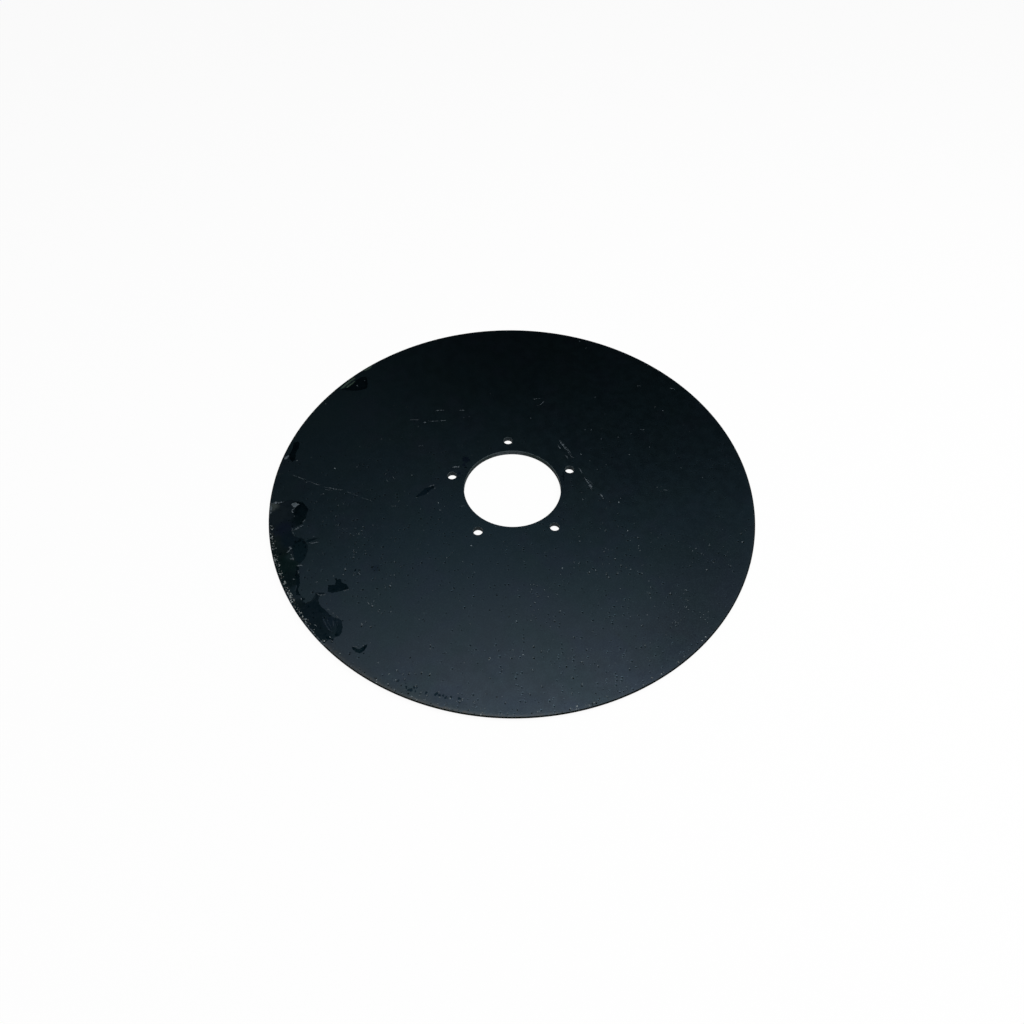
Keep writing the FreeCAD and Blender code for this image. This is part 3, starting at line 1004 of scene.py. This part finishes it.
def ridges(name, lines, material, height, gap, seed, tone):
    """Make thin ridges along pairs of a line and its width. The gap is the share that is broken away."""
    sizes = {
        "Lines": draw_lines(name + "_lines", [line for line, width in lines], False,
                            [width for line, width in lines]),
        "Height": height,
        "Gap": gap,
        "Tone": tone,
        "Seed": seed,
        "Finish": material,
    }
    tree, given = new_tree(name, sizes)
    place = vector(tree, "ADD", here(tree), xyz(tree, Z=times(tree, given["Seed"], 0.1)))
    wander = flat(tree, drift(tree, 400.0, 2.0, 0.9 * MM, place=place))
    offset = vector(tree, "ADD", wander, xyz(tree, Z=given["Height"]))
    curve = moved(tree, traced(tree, given["Lines"], 0.4 * MM), offset)
    along = node(tree, "GeometryNodeSplineParameter").outputs["Factor"]
    taper = calc(tree, "POWER", calc(tree, "SINE", times(tree, along, math.pi)), 0.4)
    breaks = ripple(tree, 700.0, place=place)
    rough = fade(tree, breaks, add(tree, 0.2, times(tree, given["Gap"], 0.4)), 0.75, 0.02, 1.3)
    width = times(tree, first(tree, "GeometryNodeInputRadius"), times(tree, taper, rough))
    ring = first(tree, "GeometryNodeCurvePrimitiveCircle", {"Resolution": 6, "Radius": 0.5 * MM})
    ring = first(tree, "GeometryNodeTransform", {0: ring, "Scale": (1.0, RING_FLATNESS, 1.0)})
    swept = first(tree, "GeometryNodeCurveToMesh",
                  {0: curve, 1: ring, "Scale": most(tree, width, THINNEST), "Fill Caps": True})
    shade = times(tree, given["Tone"], fade(tree, breaks, 0.3, 0.7, 0.3, 1.4))
    end_with(tree, give_tone(tree, swept, shade), given["Finish"])
    piece = grow(name, tree, sizes)
    bpy.data.objects.remove(sizes["Lines"])
    return piece


bright_lips = [
    ([(-189.2, -2.9), (-186.5, -3.1), (-183.4, -2.9), (-179.0, -2.3)], 2.5),
    (on_rim(180.9, 184.2, 8, 188.6), 1.7),
    ([(-170.2, -8.9), (-171.7, -10.7), (-172.3, -11.8), (-170.9, -13.7)], 1.3),
    ([(-170.0, -16.6), (-169.6, -17.6)], 0.9),
    ([(-169.9, -31.4), (-168.6, -33.8)], 1.0),
    ([(-172.0, -50.6), (-170.4, -48.8), (-169.4, -46.8), (-170.8, -45.4)], 2.2),
    ([(-168.6, -52.0), (-167.6, -54.6), (-166.2, -58.0)], 1.7),
    ([(-169.4, -56.2), (-167.8, -56.4)], 1.1),
    ([(-163.6, -62.4), (-161.6, -62.6), (-159.2, -62.6)], 1.5),
    ([(-165.4, -74.2), (-164.0, -74.6)], 1.0),
    ([(-157.8, -90.2), (-157.5, -92.0)], 0.9),
    ([(-165.9, -88.2), (-164.2, -88.8)], 1.6),
    ([(-154, -107.2), (-152, -107.8)], 1.0),
    ([(-146.8, -112.4), (-145.0, -114.0)], 1.1),
    ([(-136.0, -122.0), (-134.6, -123.6)], 0.9),
    ([(-138.2, -124.2), (-137.2, -124.8)], 0.7),
    ([(-132.4, -124.0), (-131.4, -124.6)], 0.7),
    ([(-134.4, -125.8), (-133.2, -126.8)], 0.8),
    ([(-112.4, -130.6), (-111.6, -131.8)], 1.1),
    ([(-47.1, 23.8), (-44.2, 24.3), (-41.3, 23.8)], 2.1),
    ([(-44.8, 20.9), (-42.8, 20.4)], 1.0),
    ([(-183.4, 42.2), (-182.2, 43.7), (-179.8, 45.4)], 2.6),
    ([(-155.3, 103.4), (-154.4, 103.9)], 1.3),
    ([(-129.0, 123.3), (-128.0, 124.1)], 1.5),
    ([(-122.5, 129.5), (-121.5, 130.0)], 1.6),
    ([(-155.4, 102.0), (-154.2, 103.2)], 1.9),
    ([(-75.9, -5.6), (-74.9, -5.0)], 1.1),
    ([(-151.8, 3.4), (-150.2, 2.6)], 0.6),
]
soft_lips = [
    ([(-169.6, -30.8), (-168.0, -29.6), (-165.3, -28.1), (-163.3, -26.8), (-161.6, -26.0)], 2.3),
    ([(-170.4, -28.3), (-169.9, -31.2)], 1.1),
    ([(-163.0, -23.4), (-160.8, -20.4)], 1.0),
    ([(-156.9, -42.2), (-154.4, -43.2), (-149.5, -42.4)], 1.3),
    ([(-154.4, -37.0), (-152.8, -37.4)], 0.9),
    ([(-162.4, -66.4), (-161.6, -69.4)], 1.2),
    ([(-148.4, -77.6), (-147.2, -77.8)], 1.9),
    ([(-147.3, -87.4), (-145.0, -89.0), (-142.0, -88.8), (-139.6, -87.8)], 1.2),
    ([(-128.4, -86.6), (-125.6, -86.2), (-124.2, -85.2)], 1.2),
    ([(-138.6, -100.6), (-136.8, -102.0)], 1.6),
    ([(-135.4, -103.4), (-133.6, -105.0)], 1.2),
    ([(-132.4, -106.2), (-130.4, -108.0)], 1.4),
    (on_rim(214.8, 226.0, 14, 189.0), 1.3),
    (on_rim(226.6, 234.0, 8, 188.6), 0.8),
    ([(-119.6, -131.0), (-117.6, -131.6), (-115.8, -132.2)], 0.8),
    ([(-76.2, -4.8), (-75.4, -5.6)], 1.0),
    ([(-66.6, 4.9), (-64.0, 6.2), (-61.6, 6.6)], 1.1),
    ([(-61.0, 4.8), (-61.8, 2.6)], 1.2),
]
brushed_streaks = [
    ([(-141.5, -106.4), (-140.0, -110.8), (-136.7, -116.7), (-133.7, -119.7)], 1.7),
    ([(-138.6, -107.4), (-137.4, -111.4), (-134.6, -116.4)], 1.3),
    ([(-134.2, -109.8), (-133.3, -114.8)], 1.5),
    ([(-131.4, -110.6), (-130.6, -114.4)], 1.2),
    ([(-162.8, -84.6), (-162.2, -79.0)], 1.3),
]
scratch_lines = [
    ([(-175.8, 24.6), (-169.5, 21.6), (-163.3, 18.3)], 0.70),
    ([(-162.6, 17.6), (-157.0, 14.6), (-151.7, 12.1)], 0.65),
    ([(-150.0, 11.2), (-144.0, 8.9), (-138.0, 7.0), (-133.9, 6.5)], 0.85),
    ([(-132.3, 5.3), (-126, 1.7), (-120, -1.7)], 0.50),
    ([(-119, -2.2), (-114, -4.6), (-109, -7.2)], 0.60),
    ([(-148.6, 8.0), (-142.0, 6.4)], 0.50),
    ([(42.5, 48.0), (45.3, 41.9), (47.8, 36.5), (49.8, 30.9)], 1.15),
    ([(43.8, 47.4), (46.4, 41.8), (48.9, 36.6), (51.2, 31.2)], 1.00),
    ([(49.8, 30.9), (51.2, 28.2), (52.9, 27.6)], 1.25),
    ([(40.5, 43.6), (42.8, 37.7)], 1.20),
    ([(45.8, 31.8), (47.5, 26.8)], 1.20),
    ([(55.3, 15.5), (57.4, 10.7)], 1.15),
    ([(58.3, 7.1), (60.7, 0.4), (63.2, -5.8)], 1.25),
    ([(61.0, 3.5), (64.7, -1.3)], 1.00),
    ([(69.2, -10.2), (70.6, -16.4)], 1.10),
    ([(-60.7, 88.7), (-52.2, 88.9)], 0.80),
    ([(-39.2, 87.5), (-35.2, 87.5)], 0.90),
    ([(-66.5, 76.5), (-57.4, 76.4), (-50.4, 76.6)], 0.80),
    ([(-82.0, 79.2), (-73.3, 78.9)], 0.60),
    ([(-70.2, 75.4), (-67.6, 75.6)], 1.40),
    ([(-74.9, 48.9), (-70.3, 48.9)], 0.60),
    ([(28.0, 88.7), (31.2, 90.2), (34.6, 93.4)], 0.95),
    ([(25.3, 96.9), (31.5, 97.5)], 0.55),
    ([(20.6, 74.6), (22.6, 73.4)], 0.95),
    ([(112.0, 55.1), (116.4, 54.6)], 0.75),
    ([(117.8, 107.3), (122.2, 107.3)], 0.70),
    ([(146.3, 103.5), (152.0, 100.8)], 0.80),
    ([(119.4, -10.7), (123.3, -11.2)], 0.60),
    ([(55.3, 16.5), (57.0, 11.7)], 1.20),
    ([(58.6, 6.6), (60.1, 0.7)], 1.05),
    ([(60.1, 3.2), (63.5, -4.9)], 1.20),
    ([(60.7, -1.8), (62.7, -6.5)], 1.25),
    ([(68.5, -10.5), (70.0, -15.8)], 1.00),
    ([(43.2, 45.2), (47.2, 36.5)], 0.85),
    ([(-186.3, 26.1), (-181.8, 26.4)], 0.75),
    ([(-95.6, -12.2), (-91.4, -12.4)], 0.60),
    ([(-43.2, -15.9), (-38.6, -15.9)], 0.60),
    ([(-100.3, 14.6), (-98.4, 12.4)], 0.80),
    ([(-94.9, 17.4), (-93.0, 14.4)], 0.80),
]
# The pale lips are painted highlights, brighter on the bright lips than on the dull ones.
lips = ridges("coat_lips", bright_lips, lifted_coat_and_highlight, face_height, 0.15, 3, 0.65)
dull_lips = ridges("dull_lips", soft_lips, lifted_coat_and_highlight, face_height, 0.10, 4, 0.30)
streaks = ridges("brushed_streaks", brushed_streaks, streak_dust, face_height - 0.15 * MM, 0.2, 12, 0.10)
scratches = ridges("scratches", scratch_lines, lifted_coat_and_highlight, face_height, 0.25, 8, 0.50)

# %% [markdown]
# ## Single marks
#
# The larger single marks and the fine nicks were read off the crops in the same way. Each is a short ridge
# of its own. A nick is a pale ridge with a dark one beside it: the pale one is a painted highlight, where one
# side catches the light, and the dark one a painted shadow, where the other lies in shadow. The pale ones are
# made paler on the near side as painted light, so they are split there.

# %% Single marks
NEAR_SIDE = -60
PALE_MARKS = [
    (65.8, 57.9), (71.0, 57.6), (77.9, 46.6), (79.8, 95.8), (85.2, 74.9), (75.6, 169.6), (-31.2, 79.6),
    (-74.7, 71.0), (-124.3, 29.3), (-100.7, 20.6), (153.3, -0.2), (65.3, 23.9), (-10.9, -185.4),
    (2.4, -186.4), (23.9, -186.2), (36.6, -184.9), (3.2, -180.5), (-74.0, -170.2), (-60.6, -172.0),
    (-46.0, -175.2), (-82.6, -167.0), (-101.7, -144.6), (-94.2, -153.3), (-90.3, -164.8), (-85.5, -167.8),
    (-71.4, -172.7), (-64.9, -177.4), (-77.8, -164.7), (-69.2, -170.2), (-61.1, -168.4), (-55.7, -172.6),
    (-53.9, -173.2), (-49.6, -175.8), (-45.9, -174.5), (-52.0, -181.5), (-79.0, -170.2), (-76.4, -163.4),
    (-83.8, -165.2), (-70.4, -173.0), (-38.4, -176.9), (-27.1, -161.1), (-26.9, -147.4), (-34.2, -181.8),
]
DARK_MARKS = [
    (-18.6, -97.7), (-24.2, -109.6), (-121.1, -137.1), (-110.4, -150.7), (-26.8, -146.6), (118.5, -89.0),
    (144.0, -80.0), (-80.4, -142.4), (-72.5, -26.0), (-85.7, -167.2), (-81.3, -168.1), (-108.4, -67.6),
    (-104.2, -68.4), (-106.6, -71.0), (-103.0, -70.6),
]
NICKS = [
    (50.3, -83.4), (62.5, -86.0), (70.5, -85.9), (74.7, -79.0), (118.3, -103.4), (91.5, -104.5),
    (136.5, -73.0), (143.9, -66.3), (136.7, -87.5), (75.4, -19.8), (71.3, -25.8), (79.8, -31.8),
    (67.8, -47.2), (77.6, -43.7), (91.4, -55.3), (106.5, -56.7), (170.7, -56.7), (169.8, -64.4),
    (71.0, -73.0), (89.7, -80.4), (125.6, -82.6), (155.0, -85.3), (106.2, -105.5), (55.5, -81.9),
    (88.5, -87.0), (64.1, -89.1), (20.5, -121.3), (8.9, -144.0), (-11.9, -147.6), (-19.4, -158.6),
    (4.2, -139.9), (32.5, -134.8), (39.9, -144.7), (35.7, -153.9), (46.1, -157.6), (33.2, -169.5),
    (81.3, -129.3), (80.6, -144.9), (67.0, -161.2), (81.9, -156.2), (105.6, -105.3), (115.3, -117.3),
    (105.4, -128.6), (24.9, -114.0), (-88.7, -151.3), (-84.8, -154.3), (-80.9, -154.0), (-76.4, -154.3),
    (-72.5, -154.0), (-67.0, -155.6), (-89.1, -158.2), (-85.8, -161.4), (-83.6, -158.0), (-75.9, -162.7),
    (-73.1, -168.1), (-90.1, -165.2), (-94.6, -160.8), (-65.0, -176.8), (-56.3, -176.8), (-47.6, -176.3),
    (-66.2, -134.3), (-29.9, -171.8), (-95.7, 96.8), (-84.1, 94.6), (-88.5, 58.8), (-11.5, 106.0),
    (-35.4, 78.5), (-115.2, 4.5), (-149.3, 3.0), (-153.3, -4.3), (-137.1, -9.3), (80.3, 159.4),
    (104.2, 50.2), (92.3, 47.2), (70.2, 13.5), (-125.6, -37.2), (-119.8, -37.0), (-117.4, -38.1),
    (-122.6, -52.2), (-122.3, -58.6), (-113.4, -55.7), (-101.7, -60.0), (-127.9, -68.8), (-120.9, -72.2),
    (-118.1, -72.7), (-91.9, -64.3), (-98.8, -84.3), (-95.2, -84.9), (-110.1, -97.5), (-107.2, -100.6),
    (-91.6, -43.0), (-20.4, -141.0), (-26.7, -146.7), (-9.4, -146.9), (3.4, -148.3), (-18.8, -155.9),
    (-27.1, -160.8), (24.8, -155.8), (35.9, -153.8), (27.9, -164.6), (33.5, -170.4), (26.1, -176.0),
    (6.9, -169.4), (1.3, -157.3), (-1.4, -174.1), (3.4, -179.8), (-17.9, -179.0), (-10.9, -184.0),
    (-17.2, -186.7), (23.7, -186.0), (36.1, -184.7), (41.3, -182.9), (-147.4, -24.0), (-137.6, -19.6),
    (-122.6, -32.0), (-116.2, -31.0), (-117.4, -34.6), (-121.6, -45.8), (-122.0, -53.6), (-107.4, -117.0),
    (-114.0, -115.8), (-109.3, -98.8),
]
FINE_NICKS = [
    (-137, -28), (-135, -28), (-132, -32), (-130, -33), (-126, -37), (-125, -38), (-121, -37), (-119, -38),
    (-117, -38), (-120, -41), (-118, -41), (-115, -41), (-110, -41), (-106, -31), (-109, -30), (-98, -42),
    (-95, -43), (-92, -46), (-123, -50), (-123, -53), (-122, -56), (-121, -54), (-123, -59), (-119, -50),
    (-114, -53), (-128, -68), (-129, -73), (-122, -74), (-120, -73), (-117, -74), (-117, -71), (-102, -61),
    (-108, -96), (-106, -97), (-110, -98), (-108, -99), (-105, -100), (-107, -101), (-102, -104),
    (-100, -107), (-98, -105), (-108, -117), (-111, -113), (-95, -76), (-98, -74), (-92, -76), (-94, -83),
    (-98, -86), (65, -37), (65, -41), (67, -40), (68, -46), (64, -45), (50, -40), (50, -50), (47, -51),
    (55, -57), (65, -63), (64, -66), (67, -65), (70, -65), (71, -73), (75, -80), (66, -77), (61, -77),
    (40, -74), (44, -75), (49, -83), (63, -85), (64, -88), (71, -85), (81, -83), (91, -80), (6, -91),
    (9, -91), (7, -95), (11, -92), (6, -97), (16, -96), (18, -102), (11, -101), (8, -106), (5, -108),
    (7, -112), (10, -112), (6, -116), (8, -118), (4, -120), (19, -121), (21, -122), (17, -126), (91, -104),
    (91, -108), (93, -115), (106, -105), (117, -103), (111, -115), (114, -117), (116, -119), (109, -121),
    (112, -125), (105, -127), (107, -129), (101, -132), (105, -131), (103, -129), (109, -127), (81, -125),
    (82, -130), (74, -122), (80, -121), (124, -122), (126, -124), (124, -126), (126, -128), (130, -122),
    (128, -80), (135, -73), (138, -74), (154, -68), (156, -73), (154, -76), (156, -80), (154, -84),
    (156, -89), (170, -57), (170, -64), (144, -65), (143, -81), (137, -87), (133, -68), (130, -70),
]


def short_lines(places, along, aside, width):
    """Give a short line of this width at each place, shifted aside by this much."""
    lines = []
    for number, (x, y) in enumerate(places):
        turn = 0.5 + 0.7 * math.sin(2.3 * number)
        across = (aside * math.cos(turn + 1.2), aside * math.sin(turn + 1.2))
        reach = (along / 2 * math.cos(turn), along / 2 * math.sin(turn))
        start = (x + across[0] - reach[0], y + across[1] - reach[1])
        end = (x + across[0] + reach[0], y + across[1] + reach[1])
        lines.append(([start, end], width))
    return lines


pale_lines = short_lines(PALE_MARKS, 1.3, 0.0, 1.1)
pale_lines += short_lines(NICKS, 1.3, 0.55, 1.1)
pale_lines += short_lines(FINE_NICKS, 1.1, 0.45, 0.75)
dark_lines = short_lines(DARK_MARKS, 1.6, 0.0, 1.3)
dark_lines += short_lines(NICKS, 1.4, -0.55, 1.05)
dark_lines += short_lines(FINE_NICKS, 1.1, -0.45, 0.75)
# The pale ridges are made brighter on the near side and dimmer on the far side, as painted light.
near_lines = [(line, width) for line, width in pale_lines if line[0][1] < NEAR_SIDE]
far_lines = [(line, width) for line, width in pale_lines if line[0][1] >= NEAR_SIDE]
near_marks = ridges("near_marks", near_lines, lifted_coat_and_highlight, face_height, 0.0, 9, 0.85)
far_marks = ridges("far_marks", far_lines, lifted_coat_and_highlight, face_height, 0.0, 13, 0.30)
# The dark ridges beside the nicks are painted shadows.
dark_marks = ridges("dark_marks", dark_lines, dark_matt_shade, face_height - 0.05 * MM, 0.0, 10, 0.0)

# %% [markdown]
# ## Curled flakes
#
# Two flakes of coat hang on at the left, one by the long chip and one at the rim, pale as a painted highlight
# where they catch the light, and three greener ones at the top left. Each is a ragged outline, filled, given
# the thickness of the coat, and bent up a little by noise.

# %% Curled flakes
near_flakes = [
    [(-172.9, -5.7), (-172.3, -4.5), (-169.7, -3.9), (-168.4, -4.9), (-166.6, -5.8), (-168.2, -6.9),
     (-170.2, -8.9), (-171.5, -7.9)],
    [(-183.8, 41.8), (-182.6, 44.2), (-180.4, 45.6), (-180.0, 44.2), (-181.8, 41.6)],
]
far_flakes = [
    [(-143.2, 120.4), (-141.0, 123.6), (-137.9, 127.8), (-134.5, 131.4), (-131.4, 134.4), (-130.6, 133.0),
     (-133.6, 129.6), (-136.6, 126.0), (-139.8, 122.4), (-141.6, 120.6)],
    [(-138.2, 121.8), (-134.4, 126.2), (-131.0, 129.8), (-130.4, 129.0), (-133.2, 125.4), (-136.6, 121.6)],
    [(-123.5, 142.9), (-121.8, 144.5), (-119.2, 146.7), (-116.9, 148.2), (-116.2, 147.0), (-118.2, 144.8),
     (-120.8, 143.0), (-122.7, 141.9)],
]


def curled(name, outlines, curl, coat, tone):
    """Fill ragged outlines, give them the coat's thickness and bend them up by noise."""
    sizes = {
        "Outlines": draw_lines(name + "_lines", outlines, True),
        "Face height": face_height,
        "Curl": curl,
        "Thickness": 0.08 * MM,
        "Tone": tone,
        "Coat": coat,
    }
    tree, given = new_tree(name, sizes)
    wander = flat(tree, drift(tree, 600.0, 3.0, 1.4 * MM))
    sheet = ragged_sheet(tree, given["Outlines"], 0.4 * MM, wander)
    rise = times(tree, less(tree, ripple(tree, 210.0), 0.35), given["Curl"])
    lifted = xyz(tree, Z=add(tree, given["Face height"], most(tree, rise, 0.0)))
    closed = slab(tree, moved(tree, sheet, lifted), given["Thickness"])
    shade = times(tree, given["Tone"], fade(tree, ripple(tree, 900.0), 0.35, 0.65, 0.5, 1.3))
    end_with(tree, give_tone(tree, closed, shade), given["Coat"])
    piece = grow(name, tree, sizes)
    bpy.data.objects.remove(sizes["Outlines"])
    return piece


# The pale near flakes are a painted highlight where the curled coat catches the light.
flakes = curled("coat_flakes", near_flakes, 0.7 * MM, lifted_coat_and_highlight, 0.75)
green_flakes = curled("green_flakes", far_flakes, 0.3 * MM, green_coat, 0.10)

# %% [markdown]
# ## Joining the pieces to the part
#
# Each piece rides on the part's one body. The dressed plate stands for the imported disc.

# %% Joining the pieces to the part
def check_closed(piece):
    """Print a mesh's volume and how many of its edges are open."""
    sides = bmesh.new()
    sides.from_mesh(piece.data)
    open_edges = sum(1 for edge in sides.edges if len(edge.link_faces) != 2)
    volume = sides.calc_volume(signed=True) / MM ** 3
    print(f"{piece.name}: {volume:.2f} cubic mm, {open_edges} open edges")
    sides.free()


for piece in (disc, grit, burr, lips, dull_lips, streaks, scratches, near_marks, far_marks, dark_marks,
              flakes, green_flakes):
    check_closed(piece)
    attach(piece, "root")
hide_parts("disc")

# %% [markdown]
# ## Floor and light
#
# The photograph has a plain white ground, so the floor glows evenly wherever the camera or a reflection
# sees it, and is matt white to every other ray. Four large soft lamps hang over the disc. Their dim,
# blurred picture in the coat is what gives the face its slow changes of tone.

# %% Floor and light
FLOOR_HALF = 4.0
FLOOR_GLOW = 0.94
floor_mesh = bpy.data.meshes.new("floor")
floor_corners = [(-FLOOR_HALF, -FLOOR_HALF, 0), (FLOOR_HALF, -FLOOR_HALF, 0), (FLOOR_HALF, FLOOR_HALF, 0),
                 (-FLOOR_HALF, FLOOR_HALF, 0)]
floor_mesh.from_pydata(floor_corners, [], [(0, 1, 2, 3)])
floor = add_object("floor", floor_mesh)
floor.location.z = -0.05 * MM
paper, tree, place = new_material("floor_paper")
path = node(tree, "ShaderNodeLightPath")
seen = most(tree, *(path.outputs[f"Is {ray} Ray"] for ray in ("Camera", "Glossy", "Transmission")))
matt = first(tree, "ShaderNodeBsdfDiffuse", {"Color": (0.9, 0.9, 0.9, 1)})
glow = first(tree, "ShaderNodeEmission", {"Color": (1, 1, 1, 1), "Strength": 1.0})
mixed = first(tree, "ShaderNodeMixShader", {0: times(tree, seen, FLOOR_GLOW), 1: matt, 2: glow})
node(tree, "ShaderNodeOutputMaterial", {"Surface": mixed})
floor.data.materials.append(paper)


def area_lamp(name, place, aim, width, depth, radiance):
    """Hang a soft rectangular lamp. A mirror that shows it would show this radiance."""
    data = bpy.data.lights.new(name, "AREA")
    data.shape = "RECTANGLE"
    data.size = width
    data.size_y = depth
    data.energy = radiance * math.pi * width * depth
    lamp = add_object(name, data)
    lamp.location = place
    lamp.rotation_euler = (Vector(aim) - Vector(place)).to_track_quat("-Z", "Y").to_euler()


area_lamp("front_softbox", (0.5, -0.225, 1.2), (0.5, -0.225, 0), 2.2, 0.55, 5.74)
area_lamp("wide_lamp", (0.5, 0.475, 1.2), (0.5, 0.475, 0), 2.2, 0.45, 0.49)
area_lamp("strip_lamp", (-0.075, 0.25, 1.2), (-0.075, 0.25, 0), 0.35, 1.5, 0.24)
area_lamp("left_lamp", (-0.625, 1.2, 1.2), (-0.625, 1.2, 0), 0.75, 0.4, 0.15)

world = bpy.data.worlds.new("studio")
world.use_nodes = True
background = world.node_tree.nodes["Background"]
background.inputs["Color"].default_value = (1, 1, 1, 1)
background.inputs["Strength"].default_value = 0.02
bpy.context.scene.world = world
bpy.context.scene.view_settings.view_transform = "Standard"
